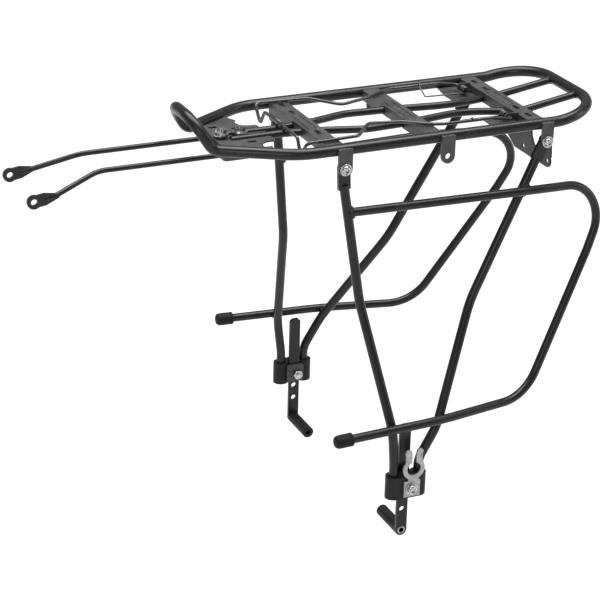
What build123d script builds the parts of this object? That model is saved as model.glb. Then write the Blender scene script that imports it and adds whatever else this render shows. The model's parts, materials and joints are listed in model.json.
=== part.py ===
from build123d import *
import os
from math import atan2, degrees

# A bicycle rear rack, modelled from its own deck: X runs to the rear of the bicycle, Y to the
# rider's right, Z up, with Z = 0 on the centre line of the deck rails. At the end everything is
# moved so that the origin is the centre of the rack's footprint, level with its lowest point.
# Left and right pieces mirror each other in Y, so each is drawn once, on the left (negative Y).

# ---- deck ----
RAIL_D = 11.6              # deck rail tube
RAIL_Y = 78.0              # half the distance between the two rail centre lines
TAIL_X = 220.0             # centre of the rear cross run of the deck rail
TAIL_Z = 8.9               # the tail is turned up by this much
UPTURN_X = 168.0           # where the tail starts to rise
TAIL_BEND = 47.0
TAPER_X = -121.0           # where the rails start to close in towards the front
NECK_X, NECK_Y, NECK_Z = -194.7, 34.6, -0.7
STOP_X, STOP_Y, STOP_Z = -214.0, 36.4, 30.6    # the raised luggage stop at the front
LONG_BEND = 60.0
NECK_BEND = 12.0
STOP_BEND = 27.0

ROD_D = 7.8                # the two inner rods of the deck
ROD_Z = -2.3
ROD_TAIL_Y, ROD_TAIL_Z = 25.8, 7.4

PLATE_T = 1.8
CROSS_X = {"front": -81.5, "middle": 26.5, "rear": 143.0}
CROSS_WIDTH = 18.0
CROSS_TOP = 3.6
SKIRT_DROP = 11.0
SKIRT_T = 1.6

APRON_X, APRON_TOP = 105.0, -2.7             # front edge and top of the rear plate's sunk wings

FRONT_PLATE_X0, FRONT_PLATE_X1 = -180.0, -147.0
FRONT_PLATE_TOP = -1.6
TONGUE_X = -124.0           # rear edge of the front plate beside the inner rods

# ---- side frames ----
LEG_D = 9.8
PANNIER_D = 9.2
TAB_T = 3.0
TAB_Y = RAIL_Y + RAIL_D / 2 + TAB_T          # outer face of the leg tabs
LEG_FLAT_T = 4.0
FRONT_BOLT = (-76.0, -18.0)                  # X and Z of the upper leg bolts
REAR_BOLT = (150.8, -17.2)
STRAP_EYE = (36.9, -18.5)
STRAP_EYE_BORE = 6.5

BAG_RAIL_LOW = (118.6, -130.4, -279.8)       # its lower rear corner
BAG_RAIL_KNEE = (10.6, -149.8, -278.1)        # where it crosses the rear leg
BAG_RAIL_END = (-107.4, -157.6, -276.6)      # its free front end, under the cap

# ---- lower clamps and feet ----
CLAMP_X = -24.3                               # middle of the clamp and of the strut
CLAMP_Y = 144.0
CLAMP_TOP, CLAMP_BOTTOM = -335.0, -359.8
LOBE_SPACING = 27.6
LOBE_D = 17.0
CLAMP_BOLT_X, CLAMP_BOLT_Z = -22.2, -348.4
STRUT_Y = 138.5                               # centre of the foot strut's thickness
STRUT_T = 3.0
STRUT_W = 12.4
STRUT_TOP, STRUT_LOW = -281.0, -404.2         # LOW is the centre of the foot eyelet
STRUT_HOLES_Z = (-348.4, -363.9, -379.4)      # the height holes, the first behind the clamp bolt
STRUT_HOLE_D = 6.2
SLIDE_FIT = 0.06
SPACER_D = 12.8
SPACER_LENGTH = 42.0
EYELET_BORE = 5.5                             # for an M5 frame bolt
HOOK_T = 2.0
HOOK_SHIFT = 1.9                              # the hook's ring stands off to the rear of its bolt
WASHER_T = 1.2

# ---- front stays ----
STAY_D = 5.4
STAY_Y, STAY_Z = 26.0, -9.9
STAY_TAIL_X = -128.0
STAY_BEND_X = -310.0
STAY_JOINT = (-357.0, 38.6, -24.4)            # where the round rod meets its flattened end
STAY_EYE = (-378.0, 39.0, -27.6)
STAY_EYE_BORE = 6.5
STAY_EYE_D = 14.0
STAY_FLAT_T = 3.4
CLAMP_BOLTS_X = (-172.7, -152.6)
WASHER_SEAT = ROD_Z + ROD_D / 2               # the washers rest on the two inner rods
SADDLE_X0, SADDLE_X1 = -182.0, -142.0

# ---- luggage clip ----
CLIP_D = 3.5
HINGE_X, HINGE_Z = 123.0, 2.0
CLIP_BAR_X, CLIP_BAR_Y, CLIP_BAR_Z = -108.0, 41.0, 4.4
CLIP_ARM_Y = 60.0
SPRING_WIRE_D = 1.6
SPRING_COIL_TURNS = 5

# ---- fasteners ----
M5_D = 5.0
M6_D = 6.0

# ---- rear light bracket ----
LIGHT_X = 190.0
LIGHT_Z = -63.7
LIGHT_SPACING = 50.0
LIGHT_HOLE_D = 5.5
LIGHT_T = 2.0
LIGHT_KNEE_Z = -20.0       # where its two arms bend forward to the rear cross plate


def rod(points, bends, diameter):
    """A round rod along straight runs joined by bends of the given radii."""
    if len(points) == 2:
        path = Line(*points)
    else:
        path = FilletPolyline(*points, radius=bends)
    start = Plane(origin=path @ 0, z_dir=path % 0)
    return sweep(start * Circle(diameter / 2), path=path)


def block(x0, x1, y0, y1, z0, z1):
    return Pos((x0 + x1) / 2, (y0 + y1) / 2, (z0 + z1) / 2) * Box(x1 - x0, y1 - y0, z1 - z0)


def pin(x, y0, y1, z, diameter):
    """A cylinder along Y."""
    return Pos(x, (y0 + y1) / 2, z) * Rot(90, 0, 0) * Cylinder(diameter / 2, abs(y1 - y0))


def post(x, y, z0, z1, diameter):
    """A cylinder along Z."""
    return Pos(x, y, (z0 + z1) / 2) * Cylinder(diameter / 2, z1 - z0)


def hexagon_y(x, y0, y1, z, flats):
    """A hexagonal prism along Y, measured across its flats."""
    outline = RegularPolygon(flats / 2, 6, major_radius=False)
    prism = extrude(Plane.XZ * outline, amount=abs(y1 - y0))
    return Pos(x, max(y0, y1), z) * prism


def hexagon_z(x, y, z0, z1, flats):
    outline = RegularPolygon(flats / 2, 6, major_radius=False)
    return Pos(x, y, z0) * extrude(outline, amount=z1 - z0)


def to_right(shape):
    return mirror(shape, about=Plane.XZ)


# ---------------------------------------------------------------- deck

def deck_rail():
    """One bent tube: a closed loop with a turned-up tail and a raised stop at its narrow front."""
    left = [
        (TAIL_X, 0, TAIL_Z),
        (TAIL_X, -RAIL_Y, TAIL_Z),
        (UPTURN_X, -RAIL_Y, 0),
        (TAPER_X, -RAIL_Y, 0),
        (NECK_X, -NECK_Y, NECK_Z),
        (STOP_X, -STOP_Y, STOP_Z),
        (STOP_X, 0, STOP_Z),
    ]
    half = rod(left, [TAIL_BEND, LONG_BEND, LONG_BEND, NECK_BEND, STOP_BEND], RAIL_D)
    return half + to_right(half)


def inner_rod(rail):
    """A wavy solid rod under the cross plates, coped against the rear run of the deck rail."""
    points = [
        (-165, -8.2, ROD_Z),
        (-112, -7.6, ROD_Z),
        (-66, -14.2, ROD_Z),
        (-26, -25.2, ROD_Z),
        (26, -21.8, ROD_Z),
        (92, -11.6, ROD_Z + 0.6),
        (150, -26.4, ROD_Z - 1.4),
        (TAIL_X, -ROD_TAIL_Y, ROD_TAIL_Z),
    ]
    return rod(points, [70, 60, 60, 120, 120, 60], ROD_D) - rail


def cross_plate(name, rail, rods):
    """A pressed channel across the deck, notched over the inner rods and the rails."""
    x = CROSS_X[name]
    half_width = CROSS_WIDTH / 2
    under = CROSS_TOP - PLATE_T
    top = block(x - half_width, x + half_width, -RAIL_Y, RAIL_Y, under, CROSS_TOP)
    skirt = block(x - half_width, x - half_width + SKIRT_T, -70, 70, CROSS_TOP - SKIRT_DROP, under)
    plate = top + skirt + Pos(CROSS_WIDTH - SKIRT_T, 0, 0) * skirt
    if name == "rear":
        for side in (-1, 1):
            plate += apron(side)
    cuts = Part()
    if name == "middle":
        for row in (-1, 1):
            for column in range(-2, 3):
                cuts += Pos(x + row * 3.6, column * 9, CROSS_TOP) * Rot(0, 0, 35) * Box(2.2, 7, 6)
    else:
        for y in (-58, -32, 32, 58):
            cuts += Pos(x, y, CROSS_TOP) * (Box(5, 7, 6) + Pos(0, 3.5, 0) * Cylinder(2.5, 6)
                                            + Pos(0, -3.5, 0) * Cylinder(2.5, 6))
    plate -= cuts
    plate -= rail
    for rod_piece in rods:
        plate -= rod_piece
    if name == "rear":
        for side in (-1, 1):
            plate += hinge_lug(side)
    return plate


def apron(side):
    """A sunk wing ahead of the rear cross plate, filling the corner between a rail and a rod."""
    back = CROSS_X["rear"] - CROSS_WIDTH / 2 + 1
    outline = Polygon((back, 28), (APRON_X, 31), (APRON_X - 1, 50), (APRON_X + 4, RAIL_Y),
                      (back, RAIL_Y), align=None)
    wing = Pos(0, 0, APRON_TOP - PLATE_T) * extrude(outline, amount=PLATE_T)
    return wing if side > 0 else to_right(wing)


def hinge_lug(side):
    """An ear on the front skirt of the rear cross plate; the clip wire turns in its hole."""
    x_skirt = CROSS_X["rear"] - CROSS_WIDTH / 2
    y = side * (CLIP_ARM_Y - 8)
    ear = block(HINGE_X, x_skirt + 0.8, y - 1, y + 1, HINGE_Z - 4, HINGE_Z + 3.4)
    ear += pin(HINGE_X, y - 1, y + 1, HINGE_Z, 8)
    return ear - pin(HINGE_X, y - 2, y + 2, HINGE_Z, CLIP_D + 0.1)


def front_plate(rail, rods):
    """The slotted sheet between the rails at the front, under the inner rods' top lines."""
    outline = Polygon(
        (FRONT_PLATE_X0, -40), (FRONT_PLATE_X1, -62), (FRONT_PLATE_X1 + 6, -48), (TONGUE_X, -22),
        (TONGUE_X, 22), (FRONT_PLATE_X1 + 6, 48), (FRONT_PLATE_X1, 62), (FRONT_PLATE_X0, 40),
        align=None,
    )
    sheet = Pos(0, 0, FRONT_PLATE_TOP - PLATE_T) * extrude(outline, amount=PLATE_T)
    for side in (-1, 1):
        sheet -= post(TONGUE_X - 6, side * 36.5, -20, 20, 24)
        for x, y in ((-169.0, 31.0), (-148.0, 21.0)):
            slot = Pos(x, side * y, FRONT_PLATE_TOP)
            sheet -= slot * (Box(5, 4.6, 8) + Pos(2.5, 0, 0) * Cylinder(2.3, 8)
                             + Pos(-2.5, 0, 0) * Cylinder(2.3, 8))
    for x in CLAMP_BOLTS_X:
        sheet -= post(x, 0, -20, 20, M6_D + 0.4)
    sheet -= rail
    for rod_piece in rods:
        sheet -= rod_piece
    return sheet


# ---------------------------------------------------------------- side frames (left)

def hanging_tab(x, z, width, hole_d):
    """A flat strap welded to the outside of the deck rail, round at its foot, with one hole."""
    strap = block(x - width / 2, x + width / 2, -TAB_Y, -TAB_Y + TAB_T, z, 3)
    strap += block(x - width / 2, x + width / 2, -TAB_Y + TAB_T, -RAIL_Y, -4.5, 3)
    strap += pin(x, -TAB_Y, -TAB_Y + TAB_T, z, width)
    tube = Pos(x, -RAIL_Y, 0) * Rot(0, 90, 0) * Cylinder(RAIL_D / 2, width + 2)
    return strap - tube - pin(x, -TAB_Y - 5, -TAB_Y + 8, z, hole_d)


def flattened_top(bolt, toward, length):
    """The pressed-flat upper end of a leg, behind its tab."""
    x, z = bolt
    y1 = -TAB_Y + TAB_T + LEG_FLAT_T
    angle = degrees(atan2(toward[0] - x, z - toward[1]))
    bar = block(-6.5, 6.5, y1 - LEG_FLAT_T, y1, -length, 0)
    bar += pin(0, y1 - LEG_FLAT_T, y1, 0, 13)
    bar -= pin(0, y1 - LEG_FLAT_T - 1, y1 + 1, 0, M5_D + 0.4)
    return Pos(x, 0, z) * Rot(0, -angle, 0) * bar


def front_leg():
    x, z = FRONT_BOLT
    knee = (-60.1, -95, -157.7)
    lobe_x = CLAMP_X - LOBE_SPACING / 2
    start = (-75.1, -81.6, -36)
    points = [start, knee, (-42.2, -146.5, -284), (lobe_x, -CLAMP_Y, -323),
              (lobe_x, -CLAMP_Y, CLAMP_BOTTOM + 1)]
    return rod(points, [70, 60, 60], LEG_D) + flattened_top(FRONT_BOLT, (start[0], start[2]), 22)


def rear_leg():
    knee = (66.4, -95.1, -177.5)
    lobe_x = CLAMP_X + LOBE_SPACING / 2
    start = (141.5, -81.6, -36)
    points = [start, knee, (9.6, -143, -287), (lobe_x, -CLAMP_Y, -321),
              (lobe_x, -CLAMP_Y, CLAMP_BOTTOM + 1)]
    return rod(points, [90, 60, 30], LEG_D) + flattened_top(REAR_BOLT, (start[0], start[2]), 22)


def pannier_rail(legs):
    """The bag rail: butted on the front leg, round the back, and forward under both legs."""
    points = [
        (-71, -85, -64.3),
        (120, -95.5, -63.9),
        (234.5, -83.1, -70.6),
        (201.1, -97.5, -139.5),
        BAG_RAIL_LOW,
        BAG_RAIL_KNEE,
        BAG_RAIL_END,
    ]
    rail = rod(points, [500, 38, 60, 50, 400], PANNIER_D)
    for leg in legs:
        rail -= leg
    return rail


def rail_cap():
    """The rubber cap pushed on the front end of the bag rail."""
    end = Vector(*BAG_RAIL_END)
    axis = (end - Vector(*BAG_RAIL_KNEE)).normalized()
    back = end - axis * 14
    plane = Plane(origin=back, z_dir=axis)
    outer = plane * Pos(0, 0, 9.6) * Cylinder(7, 19.2)
    outer = fillet(outer.edges(), 3)
    return outer - plane * Pos(0, 0, 5) * Cylinder(PANNIER_D / 2, 18)


# ---------------------------------------------------------------- lower clamp and foot (left)

def leg_clamp():
    """The block that holds both leg ends and guides the foot strut between them."""
    z0, z1 = CLAMP_BOTTOM, CLAMP_TOP
    half = LOBE_SPACING / 2
    outer = -CLAMP_Y - LOBE_D / 2
    body = block(CLAMP_X - half, CLAMP_X + half, outer, -CLAMP_Y + 4, z0, z1)
    for side in (-1, 1):
        body += post(CLAMP_X + side * half, -CLAMP_Y, z0, z1, LOBE_D)
    for side in (-1, 1):
        body -= post(CLAMP_X + side * half, -CLAMP_Y, z0 - 1, z1 + 1, LEG_D + 0.04)
    face = -STRUT_Y - STRUT_T / 2 - SLIDE_FIT
    body -= block(CLAMP_X - STRUT_W / 2 - SLIDE_FIT, CLAMP_X + STRUT_W / 2 + SLIDE_FIT,
                  face, -STRUT_Y + 9, z0 - 1, z1 + 1)
    return body - pin(CLAMP_BOLT_X, outer - 1, -CLAMP_Y + 9, CLAMP_BOLT_Z, M6_D + 0.04)


def clamp_cover():
    """The backing plate that closes the strut's channel on the inner side."""
    y0 = -STRUT_Y + STRUT_T / 2 + SLIDE_FIT
    cover = block(CLAMP_X - STRUT_W / 2 - 4, CLAMP_X + STRUT_W / 2 + 4, y0, y0 + 3,
                  CLAMP_BOTTOM + 2, CLAMP_TOP - 2)
    cover = fillet(cover.edges().filter_by(Axis.Y), 2)
    for side in (-1, 1):
        lobe_x = CLAMP_X + side * LOBE_SPACING / 2
        cover -= post(lobe_x, -CLAMP_Y, CLAMP_BOTTOM, CLAMP_TOP, LOBE_D)
    return cover


def foot_strut():
    """A flat bar with a row of height holes and the frame eyelet at its foot."""
    y0, y1 = -STRUT_Y - STRUT_T / 2, -STRUT_Y + STRUT_T / 2
    bar = block(CLAMP_X - STRUT_W / 2, CLAMP_X + STRUT_W / 2, y0, y1, STRUT_LOW, STRUT_TOP)
    top_edges = bar.edges().filter_by(Axis.Y).group_by(Axis.Z)[-1]
    bar = chamfer(top_edges, 3)
    bar += pin(CLAMP_X, y0, y1, STRUT_LOW, STRUT_W)
    for z in STRUT_HOLES_Z:
        bar -= pin(CLAMP_X, y0 - 1, y1 + 1, z, STRUT_HOLE_D)
    return bar - pin(CLAMP_X, y0 - 1, y1 + 1, STRUT_LOW, EYELET_BORE)


def foot_spacer():
    """The tube on the inside of the strut that bears on the bicycle's dropout."""
    y0 = -STRUT_Y + STRUT_T / 2
    tube = pin(CLAMP_X, y0, y0 + SPACER_LENGTH, STRUT_LOW, SPACER_D)
    return tube - pin(CLAMP_X, y0 - 1, y0 + SPACER_LENGTH + 1, STRUT_LOW, EYELET_BORE)


def clamp_bolt():
    """Pan head and washer outside, shank through the web, its tip bearing on the strut."""
    x, z = CLAMP_BOLT_X, CLAMP_BOLT_Z
    under_head = -CLAMP_Y - LOBE_D / 2 - HOOK_T - WASHER_T
    tip = -STRUT_Y - STRUT_T / 2 - SLIDE_FIT
    screw = pin(x, under_head - 3.4, under_head, z, 10) + pin(x, under_head, tip, z, M6_D)
    return screw - hexagon_y(x, under_head - 3.5, under_head - 1.4, z, 5)


def clamp_nut():
    """The nut on the inner side of the cover plate, with the bolt's end inside it."""
    y0 = -STRUT_Y + STRUT_T / 2 + SLIDE_FIT + 3
    nut = hexagon_y(CLAMP_BOLT_X, y0, y0 + 4.6, CLAMP_BOLT_Z, 10)
    return nut + pin(CLAMP_BOLT_X, y0 + 4.6, y0 + 6.4, CLAMP_BOLT_Z, M6_D)


def clamp_washer(thickness):
    """The ring under a clamp bolt's head; thicker on the side that has no bungee hook."""
    y1 = -CLAMP_Y - LOBE_D / 2 - HOOK_T - WASHER_T + thickness
    ring = pin(CLAMP_BOLT_X, y1 - thickness, y1, CLAMP_BOLT_Z, 13)
    return ring - pin(CLAMP_BOLT_X, y1 - 9, y1 + 9, CLAMP_BOLT_Z, M6_D + 0.04)


def bungee_hook():
    """A stamped steel plate under the left clamp bolt, with a ring above it and two prongs."""
    y1 = -CLAMP_Y - LOBE_D / 2
    y0 = y1 - HOOK_T
    x, z = CLAMP_BOLT_X + HOOK_SHIFT, CLAMP_BOLT_Z + 22.4
    plate = block(CLAMP_BOLT_X - 8.6, CLAMP_BOLT_X + 9.7, y0, y1, CLAMP_BOLT_Z - 9,
                  CLAMP_BOLT_Z + 9)
    plate += block(x - 6, x + 6, y0, y1, CLAMP_BOLT_Z + 5, z - 8)
    plate += pin(x, y0, y1, z, 24.5)
    for side in (-1, 1):
        inner, outer = sorted((x + side * 2.4, x + side * 9.4))
        plate += block(inner, outer, y0, y1, z + 4, z + 17)
        plate += pin(x + side * 6.4, y0, y1, z + 18.6, 7.4)
    plate -= pin(x, y0 - 1, y1 + 1, z, 15)
    plate -= block(x - 2.4, x + 2.4, y0 - 1, y1 + 1, z + 4, z + 24)
    return plate - pin(CLAMP_BOLT_X, y0 - 1, y1 + 1, CLAMP_BOLT_Z, M6_D + 0.4)


def upper_bolt(bolt):
    """The screw that holds a leg's flattened top on its tab."""
    x, z = bolt
    inner = -TAB_Y + TAB_T + LEG_FLAT_T
    screw = pin(x, -TAB_Y - 4.2, -TAB_Y - 1, z, 9.5) + pin(x, -TAB_Y - 1, inner + 7, z, M5_D)
    return screw - hexagon_y(x, -TAB_Y - 4.3, -TAB_Y - 2, z, 4)


def upper_nut(bolt):
    x, z = bolt
    inner = -TAB_Y + TAB_T + LEG_FLAT_T
    nut = hexagon_y(x, inner, inner + 4.5, z, 8)
    return nut - pin(x, inner - 1, inner + 6, z, M5_D)


# ---------------------------------------------------------------- front stay and its clamp

def stay():
    """A round rod, pinned at the seat stay by its flattened eye (drawn on the left)."""
    ex, ey, ez = STAY_EYE
    jx, jy, jz = STAY_JOINT
    slope = (jz - ez) / (jx - ex)
    tail = (STAY_TAIL_X, -STAY_Y, STAY_Z)
    bend = (STAY_BEND_X, -STAY_Y, STAY_Z)
    piece = rod([tail, bend, (jx, -jy, jz), (ex + 10, -ey, ez + slope * 10)], [45, 10], STAY_D)
    place = Pos(ex, -ey, ez) * Rot(0, -degrees(atan2(slope, 1)), 0)
    paddle = Pos(6, 0, 0) * Box(12, STAY_FLAT_T, 12)
    paddle += Rot(90, 0, 0) * Cylinder(STAY_EYE_D / 2, STAY_FLAT_T)
    paddle -= Rot(90, 0, 0) * Cylinder(STAY_EYE_BORE / 2, STAY_FLAT_T + 2)
    taper = loft([
        Plane(origin=(11, 0, 0), x_dir=(0, 1, 0), z_dir=(1, 0, 0)) * Rectangle(STAY_FLAT_T, 12),
        Plane(origin=(25, 0, 0), x_dir=(0, 1, 0), z_dir=(1, 0, 0)) * Rectangle(3.6, 3.6),
    ])
    return piece + place * paddle + place * taper


def saddle(upper, rods):
    """One half of the clamp that grips both stays; the upper half seats on the inner rods."""
    if upper:
        z0, z1 = STAY_Z + 0.3, STAY_Z + 4.6
    else:
        z0, z1 = STAY_Z - 4.6, STAY_Z - 0.3
    half = STAY_Y + 7
    plate = block(SADDLE_X0, SADDLE_X1, -half, half, z0, z1)
    plate = fillet(plate.edges().filter_by(Axis.Z), 4)
    for side in (-1, 1):
        groove = Pos((SADDLE_X0 + SADDLE_X1) / 2, side * STAY_Y, STAY_Z) * Rot(0, 90, 0)
        plate -= groove * Cylinder(STAY_D / 2 + 0.05, SADDLE_X1 - SADDLE_X0 + 2)
    for x in CLAMP_BOLTS_X:
        plate -= post(x, 0, z0 - 1, z1 + 1, M6_D + 0.04)
    for rod_piece in rods:
        plate -= rod_piece
    return plate


def saddle_bolts():
    low = STAY_Z - 4.6
    return [hexagon_z(x, 0, low - 4, low, 10) + post(x, 0, low, WASHER_SEAT + 6.8, M6_D)
            for x in CLAMP_BOLTS_X]


def saddle_nuts():
    seat = WASHER_SEAT + 1.2
    return [hexagon_z(x, 0, seat, seat + 4.6, 10) - post(x, 0, seat - 1, seat + 6, M6_D)
            for x in CLAMP_BOLTS_X]


def saddle_washers():
    seat = WASHER_SEAT
    return [post(x, 0, seat, seat + 1.2, 16) - post(x, 0, seat - 1, seat + 2, M6_D)
            for x in CLAMP_BOLTS_X]


# ---------------------------------------------------------------- luggage clip

def clip_wire():
    """One bent spring-steel wire: a front bar, two V notches and two waisted arms."""
    pivot = CLIP_ARM_Y - 23
    left = [
        (CLIP_BAR_X, 0, CLIP_BAR_Z),
        (CLIP_BAR_X, -CLIP_BAR_Y, CLIP_BAR_Z),
        (CLIP_BAR_X - 0.4, -50.5, -11),
        (CLIP_BAR_X - 0.4, -65.5, 6.2),
        (-51, -62, 6.0),
        (-26, -31, 6.0),
        (8, -40.5, 6.6),
        (38, -CLIP_ARM_Y, 6.2),
        (100, -CLIP_ARM_Y, 5.8),
        (HINGE_X, -CLIP_ARM_Y, HINGE_Z),
        (HINGE_X, -pivot, HINGE_Z),
    ]
    half = rod(left, [5, 3, 5, 10, 9, 30, 40, 30, 3.5], CLIP_D)
    return half + to_right(half)


def torsion_spring():
    """A coil round the clip's hinge end with one leg on the rear cross plate (drawn on the left)."""
    pitch = SPRING_WIRE_D + 0.15
    length = pitch * SPRING_COIL_TURNS
    y0 = -CLIP_ARM_Y + 11.5
    radius = CLIP_D / 2 + SPRING_WIRE_D / 2 + 0.35
    coil = pin(HINGE_X, y0, y0 + length, HINGE_Z, 2 * radius + SPRING_WIRE_D)
    return coil - pin(HINGE_X, y0 - 1, y0 + length + 1, HINGE_Z, CLIP_D + 0.5)


# ---------------------------------------------------------------- light bracket

def light_bracket():
    """The rear lamp plate: two holes below a U notch, hung from the rear cross plate."""
    half = LIGHT_SPACING / 2
    top = LIGHT_KNEE_Z - LIGHT_Z
    outline = Polygon(
        (-half, -7), (half + 18, -7), (half + 41, 6), (half + 38, 19), (half + 8, 19),
        (29, top), (13, top), (12, 26), (9, 16), (4, 8.6), (-4, 8.6), (-9, 16), (-12, 26),
        (-13, top), (-29, top), (-half - 7, 6), align=None,
    )
    plate = extrude(outline, amount=LIGHT_T)
    plate += Pos(-half, 0, LIGHT_T / 2) * Cylinder(7, LIGHT_T)
    for side in (-1, 1):
        plate -= Pos(side * half, 0, 0) * Cylinder(LIGHT_HOLE_D / 2, 3 * LIGHT_T)
    upright = Plane(origin=(LIGHT_X - LIGHT_T / 2, 0, LIGHT_Z), x_dir=(0, 1, 0), z_dir=(1, 0, 0))
    plate = upright * plate
    skirt_x = CROSS_X["rear"] + CROSS_WIDTH / 2
    face = LIGHT_X + LIGHT_T / 2
    strip = Polygon(
        (skirt_x, -2.6), (skirt_x, -5.0), (face - LIGHT_T, LIGHT_KNEE_Z - 2.2),
        (face, LIGHT_KNEE_Z - 0.8), align=None,
    )
    for y1 in (-13, 22):
        plate += Pos(0, y1, 0) * extrude(Plane.XZ * strip, amount=9)
    return plate


# ---------------------------------------------------------------- assembly

def build():
    rail = deck_rail()
    rod_left = inner_rod(rail)
    rods = [rod_left, to_right(rod_left)]
    legs = [front_leg(), rear_leg()]
    pieces = {
        "deck_rail": rail,
        "inner_rod_left": rods[0],
        "inner_rod_right": rods[1],
        "front_plate": front_plate(rail, rods),
        "light_bracket": light_bracket(),
        "stay_saddle_upper": saddle(True, rods),
        "stay_saddle_lower": saddle(False, rods),
        "stay_clamp_bolts": Compound(saddle_bolts()),
        "stay_clamp_nuts": Compound(saddle_nuts()),
        "stay_clamp_washers": Compound(saddle_washers()),
        "clip_wire": clip_wire(),
        "bungee_hook": bungee_hook(),
    }
    for name in CROSS_X:
        pieces["cross_plate_" + name] = cross_plate(name, rail, rods)
    handed = {
        "front_leg": legs[0],
        "rear_leg": legs[1],
        "front_leg_tab": hanging_tab(*FRONT_BOLT, 15, M5_D + 0.4),
        "rear_leg_tab": hanging_tab(*REAR_BOLT, 13, M5_D + 0.4),
        "strap_eye": hanging_tab(*STRAP_EYE, 15, STRAP_EYE_BORE),
        "pannier_rail": pannier_rail(legs),
        "rail_cap": rail_cap(),
        "leg_clamp": leg_clamp(),
        "clamp_cover": clamp_cover(),
        "foot_strut": foot_strut(),
        "foot_spacer": foot_spacer(),
        "clamp_bolt": clamp_bolt(),
        "clamp_nut": clamp_nut(),
        "clip_spring": torsion_spring(),
        "stay": stay(),
        "leg_bolts": Compound([upper_bolt(FRONT_BOLT), upper_bolt(REAR_BOLT)]),
        "leg_nuts": Compound([upper_nut(FRONT_BOLT), upper_nut(REAR_BOLT)]),
    }
    for name, shape in handed.items():
        pieces[name + "_left"] = shape
        pieces[name + "_right"] = to_right(shape)
    pieces["clamp_washer_left"] = clamp_washer(WASHER_T)
    pieces["clamp_spacer_right"] = to_right(clamp_washer(WASHER_T + HOOK_T))
    return pieces


def main():
    pieces = build()
    box = Compound(list(pieces.values())).bounding_box()
    to_origin = Pos(-(box.min.X + box.max.X) / 2, -(box.min.Y + box.max.Y) / 2, -box.min.Z)
    os.makedirs("parts", exist_ok=True)
    for name, shape in pieces.items():
        export_step(to_origin * shape, f"parts/{name}.step")


main()
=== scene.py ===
import json
import math

import bpy
from mathutils import Matrix, Vector


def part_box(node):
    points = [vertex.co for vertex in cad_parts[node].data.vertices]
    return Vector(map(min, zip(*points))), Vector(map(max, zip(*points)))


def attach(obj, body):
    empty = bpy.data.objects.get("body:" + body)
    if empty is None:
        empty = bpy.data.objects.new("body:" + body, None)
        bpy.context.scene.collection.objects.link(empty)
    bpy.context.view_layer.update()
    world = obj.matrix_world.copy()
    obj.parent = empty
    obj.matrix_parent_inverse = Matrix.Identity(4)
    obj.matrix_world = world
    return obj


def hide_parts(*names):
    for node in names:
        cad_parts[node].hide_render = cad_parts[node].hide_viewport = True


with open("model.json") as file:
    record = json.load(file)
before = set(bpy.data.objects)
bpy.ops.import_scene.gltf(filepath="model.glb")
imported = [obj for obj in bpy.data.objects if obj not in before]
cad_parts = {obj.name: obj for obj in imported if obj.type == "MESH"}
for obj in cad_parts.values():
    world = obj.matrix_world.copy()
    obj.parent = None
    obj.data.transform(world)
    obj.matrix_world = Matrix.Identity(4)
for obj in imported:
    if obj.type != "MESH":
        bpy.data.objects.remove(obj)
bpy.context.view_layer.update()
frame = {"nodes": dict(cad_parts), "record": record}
nodes = frame["nodes"]

# The rack's own coordinates are millimetres from the middle of the deck: X to the rear, Y to the
# rider's right, Z = 0 on the centre line of the deck rails. P() turns them into the frame's metres.
DECK_TAIL_X = 225.8        # rearmost point of the deck rail
STRUT_BOTTOM_Z = -410.4    # lowest point of a foot strut
deck_lo, deck_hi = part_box("deck_rail")
strut_lo, strut_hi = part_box("foot_strut_left")
SHIFT = Vector((deck_hi.x - DECK_TAIL_X / 1000, 0, strut_lo.z - STRUT_BOTTOM_Z / 1000))
SIDES = (("left", 1), ("right", -1))

RAIL_R, ROD_R, LEG_R, BAG_R = 5.8, 3.9, 4.9, 4.6     # deck rail, inner rod, leg and bag rail
RAIL_Y = 78.0
PLATE_HALF_WIDTH = 9
PLATE_TOP = 3.6
FRONT_PLATE, MIDDLE_PLATE, REAR_PLATE = -81.5, 26.5, 143.0   # X of the three cross plates


def P(x, y, z):
    return Vector((x, y, z)) / 1000 + SHIFT


def mirrored(points, side):
    """Points drawn on the left, taken to the given side."""
    return [(x, y * side, z) for x, y, z in points]


# ------------------------------------------------------------------ materials

def new_material(name):
    m = bpy.data.materials.new(name)
    m.use_nodes = True
    t = m.node_tree
    t.nodes.clear()
    out = t.nodes.new("ShaderNodeOutputMaterial")
    bsdf = t.nodes.new("ShaderNodeBsdfPrincipled")
    t.links.new(bsdf.outputs[0], out.inputs[0])
    coords = t.nodes.new("ShaderNodeTexCoord")
    return m, t, bsdf, coords.outputs["Object"]


def noise(t, coords, scale, detail=3.0, rough=0.5):
    n = t.nodes.new("ShaderNodeTexNoise")
    n.inputs["Scale"].default_value = scale
    n.inputs["Detail"].default_value = detail
    n.inputs["Roughness"].default_value = rough
    t.links.new(coords, n.inputs["Vector"])
    return n.outputs[0]


def ramp(t, value, stops):
    """A grey ramp of two stops: (position, grey)."""
    r = t.nodes.new("ShaderNodeValToRGB")
    for e, (at, grey) in zip(r.color_ramp.elements, stops):
        e.position = at
        e.color = (grey, grey, grey, 1)
    t.links.new(value, r.inputs[0])
    return r.outputs[0]


def bump(t, bsdf, heights):
    """heights: (value, strength, distance in metres), stacked."""
    last = None
    for value, strength, distance in heights:
        b = t.nodes.new("ShaderNodeBump")
        b.inputs["Strength"].default_value = strength
        b.inputs["Distance"].default_value = distance
        t.links.new(value, b.inputs["Height"])
        if last:
            t.links.new(last, b.inputs["Normal"])
        last = b.outputs[0]
    t.links.new(last, bsdf.inputs["Normal"])


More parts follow.
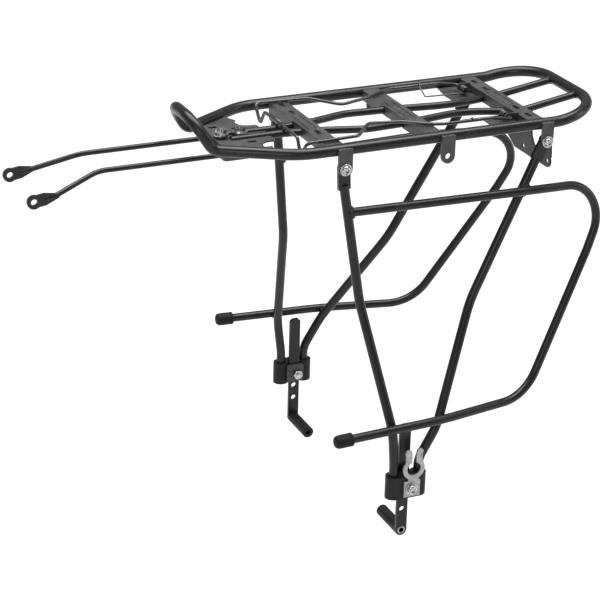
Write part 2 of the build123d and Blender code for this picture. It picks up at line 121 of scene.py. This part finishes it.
def coating(name, dark, light, rough, spread=0.08, grain=900.0, orange=0.00006, shine=0.5):
    """Satin powder coat: mottled colour, orange-peel bump and a fine dry grain."""
    m, t, bsdf, co = new_material(name)
    patch = noise(t, co, 60, 4)
    t.links.new(ramp(t, patch, [(0.35, dark), (0.65, light)]), bsdf.inputs["Base Color"])
    rub = noise(t, co, 25, 5)
    low, high = rough - spread, rough + spread
    t.links.new(ramp(t, rub, [(0.3, low), (0.7, high)]), bsdf.inputs["Roughness"])
    bump(t, bsdf, [(noise(t, co, grain, 2), 0.25, orange), (noise(t, co, 250, 1), 0.2, orange)])
    bsdf.inputs["Specular IOR Level"].default_value = shine
    return m


def zinc(name, dark, light, rough):
    """Bright plated steel with a faint mottle."""
    m, t, bsdf, co = new_material(name)
    patch = noise(t, co, 320, 6, 0.65)
    t.links.new(ramp(t, patch, [(0.3, dark), (0.7, light)]), bsdf.inputs["Base Color"])
    t.links.new(ramp(t, noise(t, co, 420, 4), [(0.3, rough - 0.08), (0.7, rough + 0.1)]),
                bsdf.inputs["Roughness"])
    bump(t, bsdf, [(noise(t, co, 1500, 3), 0.3, 0.00004)])
    bsdf.inputs["Metallic"].default_value = 1.0
    return m


def white_floor():
    """A floor that gives off its own light, so that no shadow shows on it."""
    m, t, bsdf, co = new_material("floor")
    t.links.new(ramp(t, noise(t, co, 3, 2), [(0.3, 0.97), (0.7, 1.0)]),
                bsdf.inputs["Emission Color"])
    bsdf.inputs["Emission Strength"].default_value = 1.04
    bsdf.inputs["Base Color"].default_value = (0.1, 0.1, 0.1, 1)
    bsdf.inputs["Roughness"].default_value = 0.9
    bsdf.inputs["Specular IOR Level"].default_value = 0.0
    return m


MATERIALS = {
    "tube_black": coating("tube black", 0.005, 0.010, 0.30, 0.07, shine=0.32),
    "plate_black": coating("plate black", 0.026, 0.044, 0.44, 0.1, shine=0.45),
    "clamp_black": coating("clamp black", 0.006, 0.011, 0.5, 0.08, 1400.0, 0.0001, 0.22),
    "cap_rubber": coating("cap rubber", 0.004, 0.008, 0.6, 0.07, 1800.0, 0.00012, 0.2),
    "spring_wire": coating("spring wire", 0.014, 0.032, 0.25, 0.07, shine=0.6),
    "fastener_zinc": zinc("fastener zinc", 0.22, 0.62, 0.20),
    "hook_zinc": zinc("hook zinc", 0.26, 0.46, 0.50),
}
for s in frame["record"]["subparts"]:
    o = nodes[s["node"]]
    o.data.materials.clear()
    o.data.materials.append(MATERIALS[s["material_slot"]])

# ------------------------------------------------------------------ mesh builders


def skin(name, rings, slot, body, closed=False, sharp=35):
    """Closed loops of points joined into one surface, capped at its ends unless it is a ring."""
    name = name.replace(" ", "_")
    count = len(rings[0])
    verts = [p for ring in rings for p in ring]
    faces = []
    for i in range(len(rings) if closed else len(rings) - 1):
        a = i * count
        b = (i + 1) % len(rings) * count
        for k in range(count):
            n = (k + 1) % count
            faces.append((a + k, a + n, b + n, b + k))
    if not closed:
        faces.append(tuple(range(count - 1, -1, -1)))
        faces.append(tuple(range(len(verts) - count, len(verts))))
    mesh = bpy.data.meshes.new(name)
    mesh.from_pydata(verts, [], faces)
    mesh.validate()
    mesh.shade_smooth()
    mesh.set_sharp_from_angle(angle=math.radians(sharp))
    mesh.materials.append(MATERIALS[slot])
    o = bpy.data.objects.new(name, mesh)
    bpy.context.scene.collection.objects.link(o)
    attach(o, body)
    return o


def across(direction):
    """Two unit vectors square to a direction."""
    d = direction.normalized()
    u = d.cross(Vector((0, 0, 1)))
    if u.length < 0.1:
        u = d.cross(Vector((1, 0, 0)))
    u.normalize()
    return u, d.cross(u)


def turned(name, start, axis, profile, slot, body="rack", sides=48):
    """A piece turned about an axis. profile: (mm along it, radius), or a radius by angle."""
    axis = Vector(axis).normalized()
    u, v = across(axis)
    rings = []
    for along, radius in profile:
        ring = []
        for k in range(sides):
            a = 2 * math.pi * k / sides
            r = radius(a) if callable(radius) else radius
            ring.append(start + axis * along / 1000 + (u * math.cos(a) + v * math.sin(a)) * r / 1000)
        rings.append(ring)
    return skin(name, rings, slot, body)


def hexagon(flats, shrink=0.0):
    """Radius by angle of a hexagon, its corners turned down by the chamfer."""
    def radius(a):
        corner = flats / 2 / math.cos(a % (math.pi / 3) - math.pi / 6)
        return min(corner, flats / 2 * 1.155 - shrink)
    return radius


def wire(name, points, radius, slot, body="rack", closed=False, sides=10):
    """A round wire through points (metres); radius in mm, one value or one for each point."""
    count = len(points)
    radii = radius if isinstance(radius, list) else [radius] * count
    rings = []
    u = None
    for i, p in enumerate(points):
        if closed:
            ahead, behind = points[(i + 1) % count], points[i - 1]
        else:
            ahead, behind = points[min(i + 1, count - 1)], points[max(i - 1, 0)]
        d = (ahead - behind).normalized()
        u = across(d)[0] if u is None else (u - d * u.dot(d)).normalized()
        v = d.cross(u)
        turn = [2 * math.pi * k / sides for k in range(sides)]
        rings.append([p + (u * math.cos(a) + v * math.sin(a)) * radii[i] / 1000 for a in turn])
    return skin(name, rings, slot, body, closed, 60)


# ------------------------------------------------------------------ weld beads

# Straight stretches of the welded tubes on the left side, from end to end or from bend to bend.
FRONT_LEG = [(-75.1, -81.6, -36), (-60.1, -95, -157.7), (-42.2, -146.5, -284)]
REAR_LEG = [(141.5, -81.6, -36), (66.4, -95.1, -177.5), (9.6, -143, -287)]
BAG_FRONT = [(-71, -85, -64.3), (120, -95.5, -63.9)]          # butted on the front leg
BAG_REAR = [(60, -91.2, -64.2), (196, -88.0, -68.2)]          # where it crosses the rear leg
BAG_LOW = [(118.6, -130.4, -279.8), (10.6, -149.8, -278.1), (-107.4, -157.6, -276.6)]
ROD_TAIL = [(150, -26.4, -3.7), (220, -25.8, 7.4)]
TAIL_RUN = [(220, -60, 8.9), (220, 60, 8.9)]
TABS = (("front", -76.0, 7.5), ("rear", 150.8, 6.5), ("strap", 36.9, 7.5))   # name, X, half width
BAG_WELD, ROD_WELD = 1.9, 0.9
EDGE_WELD_R = 6.0          # the short beads lie on the deck rail, from its centre line


def seams(tube, other, steps=72):
    """The closed curves where a straight tube meets another. Each tube is (end, end, radius)."""
    (a0, a1, ra), (b0, b1, rb) = tube, other
    a0, a1, b0, b1 = (Vector(p) for p in (a0, a1, b0, b1))
    da, db = (a1 - a0).normalized(), (b1 - b0).normalized()
    u, v = across(da)
    low, high = [], []
    for k in range(steps):
        angle = 2 * math.pi * k / steps
        p = a0 + (u * math.cos(angle) + v * math.sin(angle)) * ra
        w = p - b0
        w -= db * w.dot(db)
        d = da - db * da.dot(db)
        qa, qb, qc = d.dot(d), 2 * w.dot(d), w.dot(w) - rb * rb
        inside = qb * qb - 4 * qa * qc
        if inside > 0:
            root = math.sqrt(inside)
            low.append((k, p + da * (-qb - root) / (2 * qa)))
            high.append((k, p + da * (-qb + root) / (2 * qa)))
    if len(low) == steps:
        return [[p for _, p in low], [p for _, p in high]]
    if len(low) < 4:
        return []
    gap = max(range(len(low)), key=lambda i: (low[i][0] - low[i - 1][0]) % steps)
    low, high = low[gap:] + low[:gap], high[gap:] + high[:gap]
    return [[p for _, p in low] + [p for _, p in reversed(high)]]


def rearmost(loops):
    return max(loops, key=lambda loop: sum(p.x for p in loop))


def foremost(loops):
    return min(loops, key=lambda loop: sum(p.x for p in loop))


def bead(name, loop, thick, step=0.45, ripple=1.6):
    """A weld bead along a closed loop (mm), with the ripples of its puddle."""
    points = []
    for i, p in enumerate(loop):
        q = loop[(i + 1) % len(loop)]
        parts = max(1, round((q - p).length / step))
        points += [p.lerp(q, k / parts) for k in range(parts)]
    radii = []
    run = 0.0
    for i, p in enumerate(points):
        run += (p - points[i - 1]).length if i else 0
        radii.append(thick * (1 + 0.16 * math.sin(2 * math.pi * run / ripple)
                              + 0.07 * math.sin(run * 0.9 + 1)))
    return wire(name, [P(*p) for p in points], radii, "tube_black", closed=True, sides=8)


def edge_weld(name, x, side, toward, degrees_from, degrees_to, thick):
    """A short bead across the deck rail. toward: 1 on its outer side, -1 on its inner side."""
    arc = []
    for d in range(degrees_from, degrees_to, 8):
        t = math.radians(d)
        y = side * -(RAIL_Y + toward * EDGE_WELD_R * math.cos(t))
        arc.append(P(x, y, EDGE_WELD_R * math.sin(t)))
    radii = [thick + 0.2 * (i % 2) for i in range(len(arc))]
    wire(name, arc, radii, "tube_black", sides=8)


for label, side in SIDES:
    front_leg, rear_leg = mirrored(FRONT_LEG, side), mirrored(REAR_LEG, side)
    bag_front, bag_rear = mirrored(BAG_FRONT, side), mirrored(BAG_REAR, side)
    bag_low = mirrored(BAG_LOW, side)
    loops = [rearmost(seams((*bag_front, BAG_R), (front_leg[0], front_leg[1], LEG_R)))]
    loops += seams((*bag_rear, BAG_R), (rear_leg[0], rear_leg[1], LEG_R))
    loops += seams((bag_low[0], bag_low[1], BAG_R), (rear_leg[1], rear_leg[2], LEG_R + 0.2))
    loops += seams((bag_low[1], bag_low[2], BAG_R), (front_leg[1], front_leg[2], LEG_R + 0.4))
    for i, loop in enumerate(loops):
        bead(f"bag rail weld {label} {i}", loop, BAG_WELD)
    rod_loops = seams((*mirrored(ROD_TAIL, side), ROD_R), (*TAIL_RUN, RAIL_R))
    bead(f"rod weld {label}", foremost(rod_loops), ROD_WELD)
    for tab, x, half in TABS:
        for end in (-1, 1):
            edge_weld(f"{tab} tab weld {label} {end}", x + end * half, side, 1, -42, 39, 0.7)
    for plate_x in (FRONT_PLATE, MIDDLE_PLATE, REAR_PLATE):
        for end in (-1, 1):
            edge_weld(f"cross plate weld {plate_x} {label} {end}",
                      plate_x + end * PLATE_HALF_WIDTH, side, -1, -30, 46, 0.75)

# ------------------------------------------------------------------ pressed ribs of the plates

RIB_R, RIB_OFFSET = 1.2, 4.2
RIB_SINK, RIB_END_SINK = 0.2, 1.2      # depth of its centre below the plate, and at its ends
for plate_x, half in ((FRONT_PLATE, 24), (MIDDLE_PLATE, 30), (REAR_PLATE, 24)):
    for offset in (-RIB_OFFSET, RIB_OFFSET):
        rib = [P(plate_x + offset, y, PLATE_TOP - (RIB_END_SINK if abs(y) == half else RIB_SINK))
               for y in (-half, -half + 2, -half / 2, 0, half / 2, half - 2, half)]
        wire(f"pressed rib {plate_x} {offset}", rib, RIB_R, "plate_black", sides=12)

# ------------------------------------------------------------------ fasteners


def socket_head(radius, height, key):
    """Profile of a button head from under its rim to the floor of its hexagon socket."""
    return [(0, radius - 0.4), (0.4, radius), (height * 0.45, radius), (height * 0.8, radius - 0.7),
            (height, radius - 1.9), (height, key * 0.64), (height - 0.2, hexagon(key)),
            (height - 1.8, hexagon(key)), (height - 2.2, key * 0.3)]


def threaded(length, radius, pitch=0.8, depth=0.35):
    """Profile of a threaded end with a chamfered tip."""
    rows = []
    along = 0.0
    while along < length - 1:
        rows += [(along, radius), (along + pitch / 2, radius - depth)]
        along += pitch
    return rows + [(length - 0.8, radius), (length, radius - 0.8)]


def nut(flats, height):
    return [(0, hexagon(flats, 0.55)), (0.5, hexagon(flats)), (height - 0.5, hexagon(flats)),
            (height, hexagon(flats, 0.55)), (height, flats * 0.3)]


def zinc_piece(name, start, axis, profile):
    return turned(name, start, axis, profile, "fastener_zinc")


M5_R, M6_R = 2.5, 3.0
LEG_WASHER = [(0, 6.1), (0.2, 6.3), (0.8, 6.3), (1.0, 6.1)]
LEG_BOLTS = ((-76.0, -18.0), (150.8, -17.2))     # X and Z of a side's upper bolts
TAB_FACE, LEG_BACK = 86.8, 79.8                  # |Y| of a tab's outside and of a leg's inside

for label, side in SIDES:
    outward, inward = (0, -side, 0), (0, side, 0)
    for x, z in LEG_BOLTS:
        face = P(x, side * -TAB_FACE, z)
        back = P(x, side * -LEG_BACK, z)
        tip = P(x, side * -(LEG_BACK - 4.4), z)
        zinc_piece(f"leg bolt head {label} {x}", face, outward,
                                socket_head(4.75, 4.2, 4))
        zinc_piece(f"leg washer {label} {x}", face, outward, LEG_WASHER)
        zinc_piece(f"leg nut {label} {x}", back, inward, nut(8, 4.5))
        zinc_piece(f"leg bolt end {label} {x}", tip, inward, threaded(2.6, M5_R))
    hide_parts("leg_bolts_" + label)
    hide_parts("leg_nuts_" + label)

CLAMP_BOLT_X, CLAMP_BOLT_Z = -22.2, -348.4
CLAMP_FACE = 155.7                               # |Y| under the clamp bolt's head
COVER_FACE = 133.94                              # |Y| of the cover plate's inside

for label, side in SIDES:
    outward, inward = (0, -side, 0), (0, side, 0)
    head = zinc_piece("clamp bolt head " + label, P(CLAMP_BOLT_X, side * -CLAMP_FACE, CLAMP_BOLT_Z),
                      outward, socket_head(5.0, 3.4, 5))
    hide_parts("clamp_bolt_" + label)
    inner = zinc_piece("clamp nut " + label, P(CLAMP_BOLT_X, side * -COVER_FACE, CLAMP_BOLT_Z),
                       inward, nut(10, 4.6))
    tip = P(CLAMP_BOLT_X, side * -(COVER_FACE - 4.4), CLAMP_BOLT_Z)
    zinc_piece("clamp bolt end " + label, tip, inward, threaded(2.0, M6_R))
    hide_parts("clamp_nut_" + label)

NUT_SEAT = 2.8                                   # top of the stay clamp's washers
for x in (-172.7, -152.6):
    zinc_piece(f"stay nut {x}", P(x, 0, NUT_SEAT), (0, 0, 1), nut(10, 4.6))
    zinc_piece(f"stay bolt end {x}", P(x, 0, NUT_SEAT + 4.4), (0, 0, 1), threaded(1.2, M6_R))
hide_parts("stay_clamp_nuts")

# ------------------------------------------------------------------ rubber caps and eyelet rims

CAP = [(0, 5.6), (0, 6.5), (0.5, 6.95), (2.4, 7.0), (2.9, 6.5), (3.3, 6.5), (3.8, 6.9),
       (12, 6.95), (15.4, 6.8), (17.4, 6.1), (18.5, 5.0), (19.1, 3.2), (19.2, 1.2)]
CAP_OVERLAP = 14                                 # how far a cap is pushed on its rail
EYELET_X, EYELET_Y, EYELET_Z = -24.3, -140.0, -404.2
RIM_R, RIM_WIRE_R = 3.5, 0.7

for label, side in SIDES:
    knee, end = (Vector(p) for p in mirrored(BAG_LOW, side)[1:])
    axis = (end - knee).normalized()
    cap = turned("bag rail cap " + label, P(*(end - axis * CAP_OVERLAP)), axis, CAP, "cap_rubber")
    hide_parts("rail_cap_" + label)
    rim = [P(EYELET_X + RIM_R * math.cos(a), side * EYELET_Y, EYELET_Z + RIM_R * math.sin(a))
           for a in (math.radians(d) for d in range(0, 360, 10))]
    wire("foot eyelet rim " + label, rim, RIM_WIRE_R, "fastener_zinc", "foot_" + label, closed=True)

# ------------------------------------------------------------------ torsion springs of the clip

HINGE_X, HINGE_Z = 123, 2.0
WIRE_R, COIL_R, COIL_PITCH, TURNS = 0.8, 2.9, 1.72, 5
COIL_START_Y = -47.6
COIL_STEPS = 26                                  # points in one turn
SPRING_REAR = [(129, -47.8, -1.2), (133.8, -47.9, -1.5)]     # to the rear plate's skirt
SPRING_FRONT = [(118, -39.1, -1.0), (77, -40.5, -0.2), (75.3, -41.6, 0), (75.6, -43.5, 0.6),
                (76.4, -54.5, 4.6), (76.9, -57.3, 6.8), (77, -58.6, 8.2), (77, -60, 8.5),
                (77.1, -61.6, 8.0), (77.1, -62.6, 6.4)]      # forward, out and over the clip's arm

for label, side in SIDES:
    coil = []
    for k in range(TURNS * COIL_STEPS + 1):
        a = 2 * math.pi * k / COIL_STEPS
        y = COIL_START_Y + k / COIL_STEPS * COIL_PITCH
        coil.append(P(HINGE_X + COIL_R * math.sin(a), side * y, HINGE_Z - COIL_R * math.cos(a)))
    spring = wire("clip spring " + label, coil, WIRE_R, "spring_wire")
    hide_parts("clip_spring_" + label)
    rear = [P(*p) for p in mirrored(SPRING_REAR, side)]
    wire("clip spring rear leg " + label, [coil[0]] + rear, WIRE_R, "spring_wire")
    front = [P(*p) for p in mirrored(SPRING_FRONT, side)]
    wire("clip spring front leg " + label, [coil[-1]] + front, WIRE_R, "spring_wire",
         "luggage_clip")

# ------------------------------------------------------------------ floor, light, camera

FLOOR_HALF = 30.0
FLOOR_Z = -0.0006


def floor_plane():
    mesh = bpy.data.meshes.new("floor")
    h = FLOOR_HALF
    mesh.from_pydata([(-h, -h, 0), (h, -h, 0), (h, h, 0), (-h, h, 0)], [], [(0, 1, 2, 3)])
    mesh.materials.append(white_floor())
    o = bpy.data.objects.new("floor", mesh)
    o.location = (0, 0, FLOOR_Z)
    bpy.context.scene.collection.objects.link(o)


def area(name, at, target, size, power):
    light = bpy.data.lights.new(name, "AREA")
    light.shape = "RECTANGLE"
    light.size, light.size_y = size
    light.energy = power
    o = bpy.data.objects.new(name, light)
    o.location = at
    o.rotation_euler = (Vector(target) - Vector(at)).to_track_quat("-Z", "Y").to_euler()
    bpy.context.scene.collection.objects.link(o)


floor_plane()
area("overhead", (0.1, 0.2, 2.2), (0, 0, 0.3), (2.4, 1.4), 95)
area("front left", (-1.6, -1.9, 1.3), (0, 0, 0.25), (1.2, 1.0), 12)
area("rear right", (1.8, -0.8, 0.9), (0, 0, 0.25), (0.7, 1.4), 8)

world = bpy.data.worlds.new("world")
world.use_nodes = True
background = world.node_tree.nodes["Background"]
background.inputs["Color"].default_value = (1, 1, 1, 1)
background.inputs["Strength"].default_value = 0.35
bpy.context.scene.world = world
bpy.context.scene.view_settings.view_transform = "Standard"

AZIMUTH, ELEVATION, ROLL = map(math.radians, (-24.61, 23.89, 1.42))
CAMERA_PLACE = (-915.68, -1820.03, 694.84)       # in the rack's own millimetres
look = Vector((-math.sin(AZIMUTH) * math.cos(ELEVATION), math.cos(AZIMUTH) * math.cos(ELEVATION),
               -math.sin(ELEVATION)))
level = Vector((math.cos(AZIMUTH), math.sin(AZIMUTH), 0))
upright = level.cross(look)
right = level * math.cos(ROLL) + upright * math.sin(ROLL)
up = upright * math.cos(ROLL) - level * math.sin(ROLL)
lens = bpy.data.cameras.new("camera")
lens.lens = 126
lens.sensor_width = 36
lens.clip_end = 100
camera = bpy.data.objects.new("camera", lens)
turn = Matrix((right, up, -look)).transposed().to_4x4()
camera.matrix_world = Matrix.Translation(P(*CAMERA_PLACE)) @ turn
bpy.context.scene.collection.objects.link(camera)
bpy.context.scene.camera = camera
